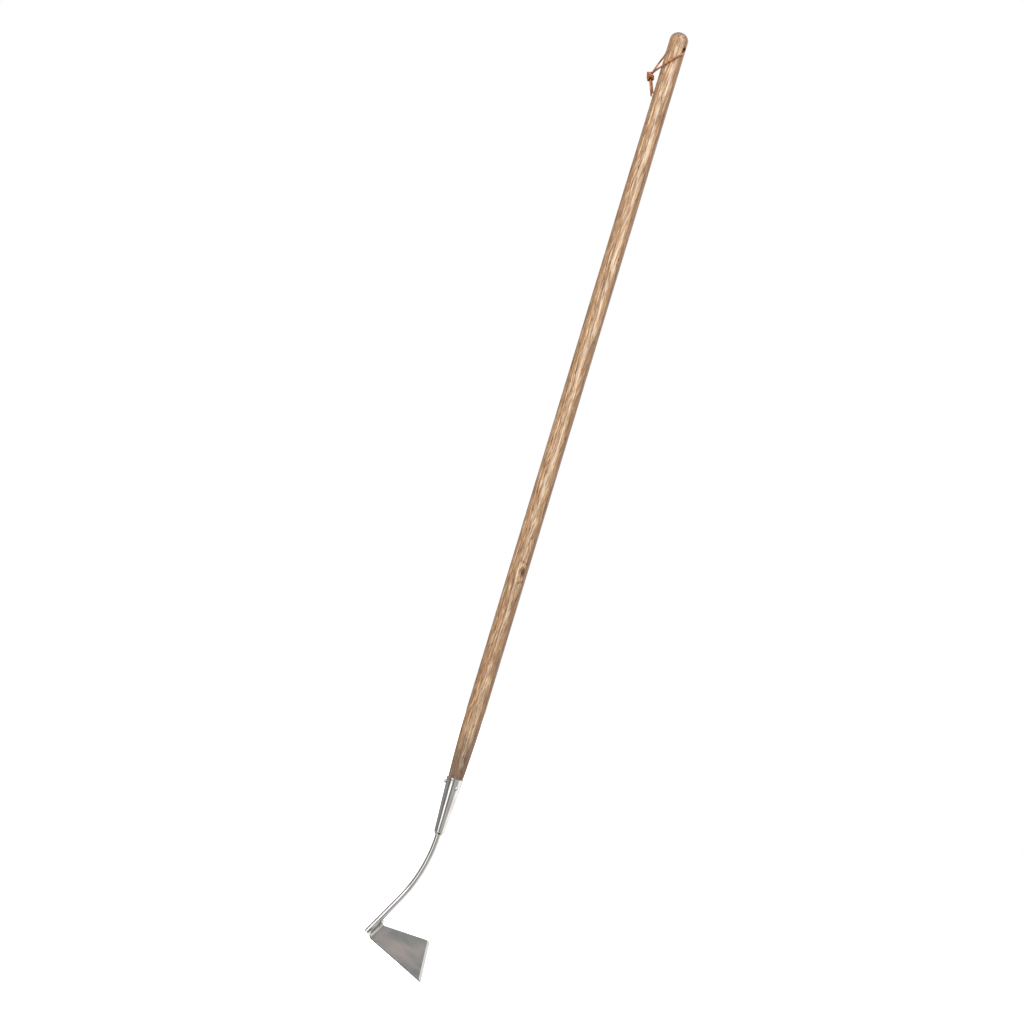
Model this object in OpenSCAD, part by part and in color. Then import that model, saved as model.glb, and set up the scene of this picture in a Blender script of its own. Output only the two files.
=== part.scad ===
// Long-handled razor hoe: an ash handle in a stainless socket, a bent round neck and a flat angled blade.
// Millimetres, +Z up the handle. The origin is on the handle's axis, in the middle of the stretch
// that a wall clip holds. The blade hangs below, and the neck bends towards -X.

/* [Handle] */
// Height of the handle's top above the foot of the socket
handle_top = 1312; // [1100:1:1500]
// Diameter of the straight part of the handle
handle_d = 30; // [26:0.5:34]
// Diameter of the slimmer grip at the top
grip_d = 29.2; // [24:0.1:30]
// Length of the slimmer grip, its rounded end included
grip_len = 130; // [90:5:200]
// Length of the slow taper between the grip and the straight part
taper_len = 160; // [60:5:220]
// Length of the shoulder that runs down to the socket's rim
shoulder_len = 113; // [60:1:160]

/* [Socket] */
// Height of the socket
socket_h = 88; // [70:1:110]
// Outer diameter at the rim
socket_rim_d = 26.4; // [25:0.1:28]
// Outer diameter at the foot
socket_foot_d = 16.5; // [15.5:0.1:18]
// Thickness of the socket's sheet
socket_wall = 1.3; // [1:0.1:1.6]
// Diameter of the head of each pin that holds the handle
pin_head_d = 6.8; // [5:0.1:7.4]
// How far each pin's head stands proud of the socket
pin_head_h = 3.2; // [1.5:0.1:3.8]

/* [Neck] */
// Diameter of the round bar
bar_d = 10; // [9:0.1:11]
// Radius of the bend, to the middle of the bar
bend_r = 250; // [200:5:300]
// How far the bar turns away from the handle's axis, in degrees
bend_angle = 28; // [20:1:35]
// Length of the straight bar below the bend
bar_straight = 72.5; // [60:0.5:90]

/* [Blade] */
// Thickness of the blade's plate
plate_t = 2.5; // [2:0.1:3]
// Width of the upturned tab that the bar is welded to
tab_w = 35; // [30:1:40]
// How far the tab is turned about the bar, in degrees
tab_turn = 6; // [2:0.1:10]
// How far the fold slants across the tab, in degrees
fold_slant = 31; // [26:0.1:33]
// Angle between the tab and the blade, in degrees
fold_angle = 79; // [75:1:90]
// Inner radius of the fold
fold_r = 4; // [3:0.1:5]
// Place of the rear corner along the fold, from the middle of the tab
rear_along = 63; // [55:0.5:75]
// Distance of the rear corner from the fold
rear_reach = 75.5; // [65:0.5:85]
// Place of the pointed corner along the fold, from the middle of the tab
point_along = -33; // [-42:0.5:-24]
// Distance of the pointed corner from the fold
point_reach = 112; // [100:0.5:125]
// Width of the ground bevel behind the cutting edge
bevel_w = 5; // [3:0.1:7]

/* [Thong] */
// Distance of the hanging hole below the handle's top
hole_drop = 27.5; // [22:0.5:35]
// Diameter of the hanging hole
hole_d = 8; // [7:0.5:9]
// Direction of the hole's front mouth, in degrees to the right of straight ahead
hole_turn = 58; // [50:1:65]
// Diameter of the leather lace
lace_d = 3; // [2.5:0.1:3.5]

/* [Hidden] */
$fn = 96;

clip_height = 950;            // the origin's height above the foot of the socket
hole_z = handle_top - hole_drop;
slip = 0.05;                  // radial gap between the wood and the steel around it
cut = 1;                      // how far a cutting shape runs past what it cuts
join = 0.05;                  // how far two shapes of one piece run into each other
ash = "peru";
steel = "silver";
leather = "chocolate";

// The socket's bore, and the wooden cone that fills it
bore_rim_r = socket_rim_d / 2 - socket_wall;
bore_foot_r = socket_foot_d / 2 - socket_wall;
cone_foot_z = 12;             // the end of the wood inside the socket
cone_foot_r = bore_foot_r + (bore_rim_r - bore_foot_r) * cone_foot_z / socket_h - slip;
cone_rim_r = bore_rim_r - slip;

// Heights along the handle
shoulder_z = socket_h + shoulder_len;
grip_z = handle_top - grip_len;
taper_z = grip_z - taper_len;
dome_h = 13;
dome_z = handle_top - dome_h;
shoulder_steps = 8;
dome_steps = 8;
mouth_in = 2.2;               // how deep each mouth of the hanging hole is countersunk
mouth_flare = 2.2;            // how much wider it is there, on each side

// The pins, each [direction to the right of straight ahead, drop below the rim]
pin_places = [[-90, 8], [30, 14.5]];
pin_d = 3.2;
pin_len = 14;

// The plug between the socket and the bar
plug_up = 9;
plug_down = 4.5;
plug_tip_d = 11.6;
plug_bead = 0.6;              // how far the weld at its tip stands out
plug_foot = 1.2;              // how far the plug keeps the socket's width below it

// The neck
bend_z = -2;
bar_over = 1;                 // how far the bar stands up past the plug
end_x = -bend_r * (1 - cos(bend_angle)) - bar_straight * sin(bend_angle);
end_z = bend_z - bend_r * sin(bend_angle) - bar_straight * cos(bend_angle);

// The tab and the fold, seen from the end of the bar
flat_x = bar_d / 2 - 0.3;     // the flat on the bar that the tab lies against
fold_z = 10;
tab_half = tab_w / 2;
root_half = tab_half / cos(fold_slant);
fold_mid_r = fold_r + plate_t / 2;
fold_reach = fold_mid_r / tan(fold_angle / 2);
fold_turn = 180 - fold_angle;
tab_rise = tab_half * tan(fold_slant);
tab_low = fold_z + fold_reach / cos(fold_slant) - tab_rise;
tab_high = tab_low + 2 * tab_rise;
tab_top = tab_high + 1.9;
edge_land = 0.4;              // the thickness left at the cutting edge
rear_corner = [rear_along, rear_reach];
point_corner = [point_along, point_reach];
edge_run = rear_corner - point_corner;
edge_len = norm(edge_run);
edge_angle = atan2(edge_run.y, edge_run.x);

// The weld's beads beside the bar
bead_low = tab_low + 0.5;
bead_high = tab_top - 2;
bead_out = 7;
bead_toe = [0.9, 0.5];        // how the bead's outer corner is rounded down to the tab
bead_in = 1;
bead_on_bar = 50;             // where a bead ends on the bar, in degrees from the tab

// The leather thong. Its points are measured from the middle of the hanging hole.
front_route = [[0, 0, 0], [6, -3.75, 0], [10.4, -6.5, 0], [12.2, -8.8, -0.9], [12.9, -11.8, -3.2],
               [11.3, -14.3, -6.8], [7.3, -15, -10.3], [3, -16.4, -15], [-2, -16.4, -20],
               [-7, -15.6, -25.2], [-12, -13.6, -31], [-17.2, -10.8, -37], [-21.6, -8, -42],
               [-24.2, -6.2, -45.6]];
back_route = [[0, 0, 0], [-6, 3.75, 0], [-9.8, 6.3, -0.2], [-12.2, 8.4, -1.4], [-13.2, 10.4, -4],
              [-13.4, 11.2, -7.6], [-14.2, 10.4, -11.8], [-16, 8.6, -16.8], [-17.8, 6.2, -22],
              [-20.2, 3.4, -29], [-22.4, 0.6, -36.2], [-24, -1.6, -42], [-24.6, -2.8, -45.6]];
long_route = [[-26, -5.5, -60], [-25.2, -6, -64.5], [-22.9, -6.5, -70.5], [-20, -7, -77],
              [-16.8, -7.5, -83.5]];
short_route = [[-25.2, -2.5, -60], [-24, -2, -65], [-21, -1.5, -71], [-17.6, -1, -77.5]];
knot_at = [-27, -4, -53];
knot_r = 6;
knot_half_h = 8;
knot_steps = 12;
lace_sides = 8;
lace_side = [0, 0.3, 1];      // the side of a lace that its first ring of points starts from

// Points on an arc about c, from angle a0 to a1
function arc(c, r, a0, a1, n) =
    [for (i = [0:n]) let(a = a0 + (a1 - a0) * i / n) [c.x + r.x * cos(a), c.y + r.y * sin(a)]];

// The frame across a route at point i, and the ring of points around it
function unit(v) = v / norm(v);
function ahead(p, i) = unit(p[min(i + 1, len(p) - 1)] - p[max(i - 1, 0)]);
function beside(d, s) = unit(s - d * (s * d));
function sides(p, i) = i == 0 ? beside(ahead(p, 0), lace_side) : beside(ahead(p, i), sides(p, i - 1));
function ring(p, i, r, n) =
    let(d = ahead(p, i), s = sides(p, i), t = cross(d, s))
    [for (k = [0:n - 1]) p[i] + r * (s * cos(360 * k / n) + t * sin(360 * k / n))];

module placed(z = 0) {
    translate([0, 0, z - clip_height]) children();
}

// A tube of diameter d along the points of a route
module lace(route) {
    n = lace_sides;
    rings = len(route);
    points = [for (i = [0:rings - 1]) each ring(route, i, lace_d / 2, n)];
    walls = [for (i = [0:rings - 2], k = [0:n - 1])
             let(a = i * n + k, b = i * n + (k + 1) % n) [a, a + n, b + n, b]];
    first = [for (k = [0:n - 1]) k];
    last = [for (k = [n - 1:-1:0]) (rings - 1) * n + k];
    polyhedron(points, concat(walls, [first, last]));
}

// Cuts outward from the handle's axis, at a height and in a direction to the right of straight ahead
module outward(turn, z) {
    translate([0, 0, z]) rotate([0, 0, turn]) rotate([90, 0, 0]) children();
}

module handle_outline() {
    shoulder = [for (i = [0:shoulder_steps])
                let(s = i / shoulder_steps)
                [handle_d / 2 - (handle_d / 2 - cone_rim_r) * (1 - s) ^ 2, socket_h + shoulder_len * s]];
    dome = arc([0, dome_z], [grip_d / 2, dome_h], 0, 90, dome_steps);
    polygon(concat([[0, cone_foot_z], [cone_foot_r, cone_foot_z]], shoulder,
                   [[handle_d / 2, taper_z], [grip_d / 2, grip_z]], dome));
}

module handle() {
    // the countersink goes on opening past the surface, so that it cuts through cleanly
    mouth_end = mouth_in + cut;
    mouth_d = hole_d + 2 * mouth_flare * mouth_end / mouth_in;
    color(ash) placed() difference() {
        rotate_extrude() handle_outline();
        outward(hole_turn, hole_z) cylinder(h = handle_d + cut, d = hole_d, center = true);
        for (side = [0, 180])
            outward(hole_turn + side, hole_z)
                translate([0, 0, grip_d / 2 - mouth_in])
                    cylinder(h = mouth_end, d1 = hole_d, d2 = mouth_d);
        for (pin = pin_places)
            outward(pin[0], socket_h - pin[1]) cylinder(h = handle_d, d = pin_d);
    }
}

module socket() {
    lip_h = 1.6;
    lip_out = 0.5;
    lip_edge = 0.3;
    rim_r = socket_rim_d / 2;
    foot_r = socket_foot_d / 2;
    color(steel) placed() difference() {
        rotate_extrude()
            polygon([[bore_foot_r, 0], [foot_r, 0], [rim_r, socket_h - 2 * lip_h],
                     [rim_r + lip_out, socket_h - lip_h], [rim_r + lip_out, socket_h - lip_edge],
                     [rim_r + lip_out - lip_edge, socket_h], [bore_rim_r, socket_h]]);
        for (pin = pin_places)
            outward(pin[0], socket_h - pin[1]) cylinder(h = handle_d, d = pin_d);
    }
}

// Radius of the socket's outside at a height
function socket_r(z) = (socket_foot_d + (socket_rim_d - socket_foot_d) * z / socket_h) / 2;

module socket_pins() {
    head_r = pin_head_d / 2;
    seat = 0.35;              // the head's underside is dressed down onto the round of the socket
    head_steps = 6;
    color(steel) placed() for (pin = pin_places) {
        z = socket_h - pin[1];
        difference() {
            outward(pin[0], z) {
                translate([0, 0, socket_r(z) - pin_len]) cylinder(h = pin_len, d = pin_d);
                translate([0, 0, socket_r(z) - seat])
                    rotate_extrude()
                        polygon(concat([[0, 0]], arc([0, seat], [head_r, pin_head_h], 0, 90, head_steps)));
            }
            // the underside of the head follows the socket's cone
            difference() {
                rotate_extrude()
                    polygon([[0, 0], [socket_r(0), 0], [socket_r(socket_h), socket_h], [0, socket_h]]);
                outward(pin[0], z) cylinder(h = handle_d, d = pin_d);
            }
        }
    }
}

module socket_plug() {
    top_r = bore_foot_r + (bore_rim_r - bore_foot_r) * plug_up / socket_h;
    foot_r = socket_foot_d / 2;
    tip_r = plug_tip_d / 2;
    color(steel) placed() difference() {
        rotate_extrude()
            polygon([[0, plug_up], [top_r, plug_up], [bore_foot_r, 0], [foot_r, 0],
                     [foot_r - plug_bead, -plug_foot], [tip_r + plug_bead, -plug_down + 2 * plug_bead],
                     [tip_r + plug_bead, -plug_down + plug_bead], [tip_r, -plug_down], [0, -plug_down]]);
        bar_top();
        bend();
    }
}

module bar_top() {
    translate([0, 0, bend_z]) cylinder(h = plug_up + bar_over - bend_z, d = bar_d);
}

module bend() {
    translate([-bend_r, 0, bend_z]) rotate([-90, 0, 0])
        rotate_extrude(angle = bend_angle) translate([bend_r, 0]) circle(d = bar_d);
}

module at_bar_end() {
    translate([end_x, 0, end_z]) rotate([0, bend_angle, 0]) children();
}

module at_tab() {
    at_bar_end() rotate([0, 0, -tab_turn]) children();
}

module neck() {
    color(steel) placed() {
        bar_top();
        bend();
        difference() {
            at_bar_end() cylinder(h = bar_straight + 6 * join, d = bar_d + 2 * join);
            at_tab() translate([flat_x, -tab_half, -cut]) cube([bar_d, tab_w, tab_top + cut]);
        }
    }
}

module at_fold() {
    at_tab() translate([flat_x + plate_t / 2, 0, fold_z]) rotate([fold_slant, 0, 0]) children();
}

module blade() {
    half_t = plate_t / 2;
    // the two flats run a little way over the fold, which is thinner by a hair, so that they fuse cleanly
    lap = 6 * join;
    bevel_rise = (plate_t - edge_land) / bevel_w;
    // the blade's flat begins a little way along its two long sides
    start = fold_reach;
    rear_start = root_half + (rear_corner.x - root_half) * start / rear_corner.y;
    point_start = -root_half + (point_corner.x + root_half) * start / point_corner.y;
    color(steel) placed() {
        at_tab() translate([flat_x, 0, 0]) rotate([90, 0, 90]) linear_extrude(plate_t)
            polygon([[-tab_half, tab_low - lap], [tab_half, tab_high - lap], [tab_half, tab_top],
                     [-tab_half, tab_top]]);
        at_fold() {
            translate([fold_mid_r, 0, fold_reach]) rotate([0, 180, 0]) rotate([90, 0, 0])
                rotate_extrude(angle = fold_turn)
                    translate([fold_r + join, -root_half])
                        square([plate_t - 2 * join, 2 * root_half]);
            rotate([0, fold_angle, 0]) difference() {
                translate([-half_t, 0, 0]) rotate([90, 0, 90]) linear_extrude(plate_t)
                    polygon([[point_start, start - lap], [rear_start, start - lap], rear_corner,
                             point_corner]);
                translate([0, point_corner.x, point_corner.y]) rotate([edge_angle, 0, 0])
                    translate([0, edge_len + bevel_w, 0]) rotate([90, 0, 0])
                        linear_extrude(edge_len + 2 * bevel_w)
                            polygon([[-half_t - bevel_rise * cut, -bevel_w - cut],
                                     [half_t - edge_land + bevel_rise * cut, cut],
                                     [-half_t - cut, cut], [-half_t - cut, -bevel_w - cut]]);
            }
        }
    }
}

module blade_weld() {
    r = bar_d / 2;
    color(steel) placed() at_tab() for (side = [-1, 1])
        translate([0, 0, bead_low]) linear_extrude(bead_high - bead_low) difference() {
            polygon([[flat_x, side * bead_in], [flat_x, side * bead_out],
                     [flat_x - bead_toe.x, side * (bead_out - bead_toe.y)],
                     [r * cos(bead_on_bar), side * r * sin(bead_on_bar)]]);
            circle(d = bar_d);
        }
}

module thong_front() {
    color(leather) placed(hole_z) lace(front_route);
}

module thong_back() {
    color(leather) placed(hole_z) lace(back_route);
}

module thong_knot() {
    color(leather) placed(hole_z) translate(knot_at)
        rotate_extrude() polygon(arc([0, 0], [knot_r, knot_half_h], -90, 90, knot_steps));
}

module thong_tail_long() {
    color(leather) placed(hole_z) lace(long_route);
}

module thong_tail_short() {
    color(leather) placed(hole_z) lace(short_route);
}

handle();
socket();
socket_pins();
socket_plug();
neck();
blade();
blade_weld();
thong_front();
thong_back();
thong_knot();
thong_tail_long();
thong_tail_short();
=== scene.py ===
# A long-handled razor hoe: an ash handle, a polished stainless socket and neck, and a flat twisted blade.
# Lengths are in metres in the part's own frame, +Z up the handle, with the blade at the bottom.

import math
import bpy
import bmesh
from mathutils import Matrix, Vector, noise


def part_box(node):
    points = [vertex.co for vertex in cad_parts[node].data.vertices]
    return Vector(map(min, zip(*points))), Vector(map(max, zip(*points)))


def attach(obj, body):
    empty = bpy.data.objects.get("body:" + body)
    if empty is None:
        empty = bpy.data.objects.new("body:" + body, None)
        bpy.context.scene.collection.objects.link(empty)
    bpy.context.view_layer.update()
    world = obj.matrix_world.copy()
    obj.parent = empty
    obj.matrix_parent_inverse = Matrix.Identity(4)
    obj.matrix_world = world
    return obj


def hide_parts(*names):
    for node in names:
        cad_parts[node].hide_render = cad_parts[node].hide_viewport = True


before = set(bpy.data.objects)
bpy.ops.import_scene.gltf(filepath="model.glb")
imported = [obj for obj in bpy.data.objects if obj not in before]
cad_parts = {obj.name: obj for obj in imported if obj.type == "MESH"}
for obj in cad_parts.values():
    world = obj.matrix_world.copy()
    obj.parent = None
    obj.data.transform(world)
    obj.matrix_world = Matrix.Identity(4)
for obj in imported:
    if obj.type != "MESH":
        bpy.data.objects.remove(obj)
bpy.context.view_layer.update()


# ---- Camera ----
# A long lens far off, level with the middle of the hoe and rolled, so that the handle leans to the right.
mm = 0.001   # a millimetre, in metres
foot_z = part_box("socket")[0].z
lean = math.radians(16.86)
stand_off, far_clip = 4.5, 50
aim = Vector((-36.3 * mm, 0, foot_z + 514.3 * mm))
camera = bpy.data.objects.new("camera", bpy.data.cameras.new("camera"))
bpy.context.scene.collection.objects.link(camera)
camera.data.sensor_width = 36
camera.data.lens = 100.7
camera.data.clip_end = far_clip
camera.location = aim - Vector((0, stand_off, 0))
camera.rotation_euler = (math.radians(90), -lean, 0)
bpy.context.scene.camera = camera


# ---- Leather thong ----
# One waxed round lace of tanned cowhide, about 3 mm thick, cut from the hide in a strip. It runs through
# the hanging hole, and both strands are tied in one overhand knot that leaves two short tails.
lace_d = 3 * mm
hole_drop = 27.5 * mm
hole_turn = math.radians(58)
handle_low, handle_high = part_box("handle")
hole_centre = Vector((0, 0, handle_high.z - hole_drop))
# each strand's way from the middle of the hole to the knot, in millimetres from the hole's centre
front_points = [(0, 0, 0), (6, -3.75, 0), (10.4, -6.5, 0), (12.2, -8.8, -0.9), (12.9, -11.8, -3.2),
                (11.3, -14.3, -6.8), (7.3, -15, -10.3), (3, -16.4, -15), (-2, -16.4, -20),
                (-7, -15.6, -25.2), (-12, -13.6, -31), (-17.2, -10.8, -37), (-21.6, -8, -42),
                (-24.2, -6.2, -45.6)]
back_points = [(0, 0, 0), (-6, 3.75, 0), (-9.8, 6.3, -0.2), (-12.2, 8.4, -1.4), (-13.2, 10.4, -4),
               (-13.4, 11.2, -7.6), (-14.2, 10.4, -11.8), (-16, 8.6, -16.8), (-17.8, 6.2, -22),
               (-20.2, 3.4, -29), (-22.4, 0.6, -36.2), (-24, -1.6, -42), (-24.6, -2.8, -45.6)]


def linear(hex_colour):
    """An sRGB hex colour as the linear RGBA that shaders take."""
    parts = [int(hex_colour[i:i + 2], 16) / 255 for i in (1, 3, 5)]
    return [c / 12.92 if c <= 0.04045 else ((c + 0.055) / 1.055) ** 2.4 for c in parts] + [1.0]


def add(tree, kind, inputs=None, stops=None, **settings):
    """Adds a node, sets its properties and colour stops, and sets or links its inputs. A node that is given
    as an input is linked from its first output."""
    node = tree.nodes.new("ShaderNode" + kind)
    for name, value in settings.items():
        setattr(node, name, value)
    if stops:
        marks = node.color_ramp.elements
        while len(marks) < len(stops):
            marks.new(0.5)
        for mark, (place, colour) in zip(marks, stops):
            mark.position = place
            mark.color = colour
    for name, value in (inputs or {}).items():
        if isinstance(value, bpy.types.Node):
            value = value.outputs[0]
        if isinstance(value, bpy.types.NodeSocket):
            tree.links.new(value, node.inputs[name])
        else:
            node.inputs[name].default_value = value
    return node


def new_material(name):
    """An empty material and its node tree."""
    material = bpy.data.materials.new(name)
    material.use_nodes = True
    material.node_tree.nodes.clear()
    return material, material.node_tree


def grey(value):
    """A mask value or a neutral level of light as RGBA."""
    return (value, value, value, 1.0)


def put(name, vertices, faces, material, smooth_angle=40):
    """A mesh piece that rides with the hoe, smooth but for edges sharper than smooth_angle."""
    mesh = bpy.data.meshes.new(name)
    mesh.from_pydata([tuple(v) for v in vertices], [], [tuple(f) for f in faces])
    mesh.validate()
    mesh.polygons.foreach_set("use_smooth", [True] * len(mesh.polygons))
    mesh.set_sharp_from_angle(angle=math.radians(smooth_angle))
    mesh.materials.append(material)
    piece = bpy.data.objects.new(name, mesh)
    bpy.context.scene.collection.objects.link(piece)
    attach(piece, "root")
    return piece


def flowing(points, per_span):
    """A smooth line through the points (Catmull-Rom), per_span steps to each span."""
    p = [Vector(q) for q in points]
    p = [2 * p[0] - p[1]] + p + [2 * p[-1] - p[-2]]
    line = []
    for i in range(1, len(p) - 2):
        for k in range(per_span):
            t = k / per_span
            line.append(0.5 * (2 * p[i] + (p[i + 1] - p[i - 1]) * t
                               + (2 * p[i - 1] - 5 * p[i] + 4 * p[i + 1] - p[i + 2]) * t ** 2
                               + (3 * p[i] - p[i - 1] - 3 * p[i + 1] + p[i + 2]) * t ** 3))
    return line + [p[-2]]


def cowhide_lace():
    """Waxed cowhide: a smooth tan grain side with fine creases, darker where it has been handled. The hide's
    grain is about 0.15 mm across, and is drawn three times as coarse so that it shows."""
    material, tree = new_material("tanned cowhide, waxed lace")
    place = add(tree, "TexCoord").outputs["Object"]
    blotch = add(tree, "TexNoise", {"Vector": place, "Scale": 1 / (9 * mm), "Detail": 2.0})
    hide = add(tree, "ValToRGB", {"Fac": blotch},
               stops=[(0.3, linear("#703C1E")), (0.5, linear("#96562A")), (0.7, linear("#BC773D"))])
    grain = add(tree, "TexVoronoi", {"Vector": place, "Scale": 1 / (0.45 * mm)},
                feature="DISTANCE_TO_EDGE")
    crease = add(tree, "TexNoise", {"Vector": place, "Scale": 1 / (1.1 * mm), "Detail": 4.0,
                                    "Roughness": 0.65})
    height = add(tree, "Math", {0: grain, 1: crease}, operation="ADD")
    bump = add(tree, "Bump", {"Height": height, "Strength": 0.3, "Distance": 0.1 * mm})
    shader = add(tree, "BsdfPrincipled", {"Base Color": hide, "Roughness": 0.42, "Coat Weight": 0.22,
                                          "Coat Roughness": 0.3, "Normal": bump})
    add(tree, "OutputMaterial", {"Surface": shader})
    return material


cowhide = cowhide_lace()


def strand(name, points):
    """A strand of the lace: a round bevelled curve that starts in the middle of the hanging hole."""
    line = flowing([Vector(p) * mm + hole_centre for p in points], 6)
    curve = bpy.data.curves.new(name, "CURVE")
    curve.dimensions = "3D"
    curve.bevel_depth = lace_d / 2
    curve.bevel_resolution = 5
    spline = curve.splines.new("POLY")
    spline.points.add(len(line) - 1)
    for point, place in zip(spline.points, line):
        point.co = (*place, 1)
    spline.use_smooth = True
    curve.materials.append(cowhide)
    piece = bpy.data.objects.new(name, curve)
    bpy.context.scene.collection.objects.link(piece)
    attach(piece, "root")
    long = sum((b - a).length for a, b in zip(line, line[1:]))
    return piece, long


def tube(line, radius, sides=16):
    """Vertices and faces of a tube along a line, closed at both ends: radius is one for the whole tube, or
    one for each point."""
    vertices, faces = [], []
    first = line[1] - line[0]
    across = Vector((0, 0, 1)) if abs(first.z) < 0.9 * first.length else Vector((0, 1, 0))
    rings = []
    ends = len(line) - 1
    for i, point in enumerate(line):
        ahead = (line[min(i + 1, ends)] - line[max(i - 1, 0)]).normalized()
        across = (across - ahead * across.dot(ahead)).normalized()
        other = ahead.cross(across)
        r = radius[i] if isinstance(radius, list) else radius
        ring = []
        for k in range(sides):
            a = math.tau * k / sides
            ring.append(len(vertices))
            vertices.append(point + r * (across * math.cos(a) + other * math.sin(a)))
        rings.append(ring)
    for low, high in zip(rings, rings[1:]):
        for k in range(sides):
            faces.append((low[k], low[(k + 1) % sides], high[(k + 1) % sides], high[k]))
    faces.append(tuple(reversed(rings[0])))
    faces.append(tuple(rings[-1]))
    return vertices, faces


# The knot, in millimetres and in a frame that is turned so that its Z hangs plumb: the middle line of the
# doubled lace, which goes down, round behind the foot of the knot, up and over its own front, and out
# through the loop. The two tails follow it.
knot_centre = hole_centre + Vector((-27, -4, -53)) * mm
plumb = Matrix.Rotation(-lean, 3, "Y")
knot_top = (4.6, -0.5, 6.4)
turns = [(1.8, -0.9, 4.6), (-1.0, -2.2, 2.0), (-3.8, -2.2, -2.6), (-2.6, 2.2, -4.8), (1.8, 3.4, -4.0),
         (4.7, 0.6, -3.2), (4.0, -3.2, -0.8), (0.2, -5.3, 1.0), (-3.6, -3.4, 3.0), (-3.4, 1.4, 5.0),
         (0.4, 2.8, 3.6), (0.8, 0.6, -2.4)]
tails = [[(0.2, -1.0, -7.0), (0.4, -1.6, -13), (0.9, -2.2, -21), (1.4, -2.6, -28), (1.7, -2.7, -31.6)],
         [(2.2, 1.0, -7.0), (2.6, 1.1, -12), (3.2, 1.0, -18), (3.7, 0.7, -24), (3.9, 0.6, -26.4)]]


def knot_and_tails():
    """Both strands, side by side along the knot's middle line, and then each in its own tail. On the
    knot's own axis, where no way is outwards, they lie side by side in a set direction."""
    vertices, faces = [], []
    middle = flowing([knot_top] + turns, 4)
    half_apart, axis_r, set_way, overlap = 1.45, 1.2, Vector((0.6, 0.8, 0)), 0.6 * mm
    for side, tail, points in ((-1, tails[0], front_points), (1, tails[1], back_points)):
        entry = hole_centre + Vector(points[-1]) * mm
        before = hole_centre + Vector(points[-2]) * mm
        way = [entry + (before - entry).normalized() * overlap, entry]
        for i in range(3, len(middle) - 1, 2):
            ahead = (middle[i + 1] - middle[i - 1]).normalized()
            out = Vector((middle[i].x, middle[i].y, 0))
            beside = ahead.cross(out).normalized() if out.length > axis_r else set_way
            way.append(knot_centre + plumb @ (middle[i] - beside * side * half_apart) * mm)
        way += [knot_centre + plumb @ Vector(p) * mm for p in tail]
        some, more = tube(flowing(way, 5), lace_d / 2)
        faces += [tuple(i + len(vertices) for i in f) for f in more]
        vertices += some
    piece = put("thong_knot_and_tails", vertices, faces, cowhide)
    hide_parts("thong_knot", "thong_tail_long", "thong_tail_short")
    return piece


knot = knot_and_tails()
hole_way = Vector((math.sin(hole_turn), -math.cos(hole_turn), 0))
grip_r = 14.6 * mm
for name, points, side in (("thong_front", front_points, 1), ("thong_back", back_points, -1)):
    piece, long = strand(name + "_strand", points)
    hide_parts(name)


# ---- Handle ----
# A pole of ash, turned on a lathe, sanded and oiled: rounded at the top, slimmer at the grip, 30 mm thick
# along the middle, and drawn in at the foot to a cone that is driven into the socket.
handle_r = 15 * mm
shoulder = 113 * mm
dome = 13 * mm
cone_rim_r = 11.85 * mm
cone_foot_r = 8.2 * mm
rim_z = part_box("socket")[1].z


def handle_radius(z):
    """The handle's radius at a height."""
    if z < rim_z:
        return cone_foot_r + (cone_rim_r - cone_foot_r) * (z - handle_low.z) / (rim_z - handle_low.z)
    if z < rim_z + shoulder:
        return handle_r - (handle_r - cone_rim_r) * (1 - (z - rim_z) / shoulder) ** 2
    grip_z, taper = handle_high.z - 130 * mm, 160 * mm
    if z < handle_high.z - dome:
        share = min(max((z - grip_z + taper) / taper, 0), 1)
        return handle_r + (grip_r - handle_r) * share * share * (3 - 2 * share)
    up = min((z - handle_high.z + dome) / dome, 1)
    return grip_r * math.sqrt(max(1 - up * up, 0))


def lathe(profile, sides, centre=Vector(), turn=Matrix.Identity(3)):
    """Vertices and faces turned from (radius, height) pairs; a radius of 0 closes the end."""
    vertices, faces, rings = [], [], []
    for r, z in profile:
        if r <= 1e-9:
            rings.append([len(vertices)])
            vertices.append(centre + turn @ Vector((0, 0, z)))
            continue
        rings.append(list(range(len(vertices), len(vertices) + sides)))
        for k in range(sides):
            a = math.tau * k / sides
            vertices.append(centre + turn @ Vector((r * math.cos(a), r * math.sin(a), z)))
    for low, high in zip(rings, rings[1:]):
        for k in range(sides):
            n = (k + 1) % sides
            if len(low) == 1:
                faces.append((low[0], high[n], high[k]))
            elif len(high) == 1:
                faces.append((low[k], low[n], high[0]))
            else:
                faces.append((low[k], low[n], high[n], high[k]))
    return vertices, faces


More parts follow.
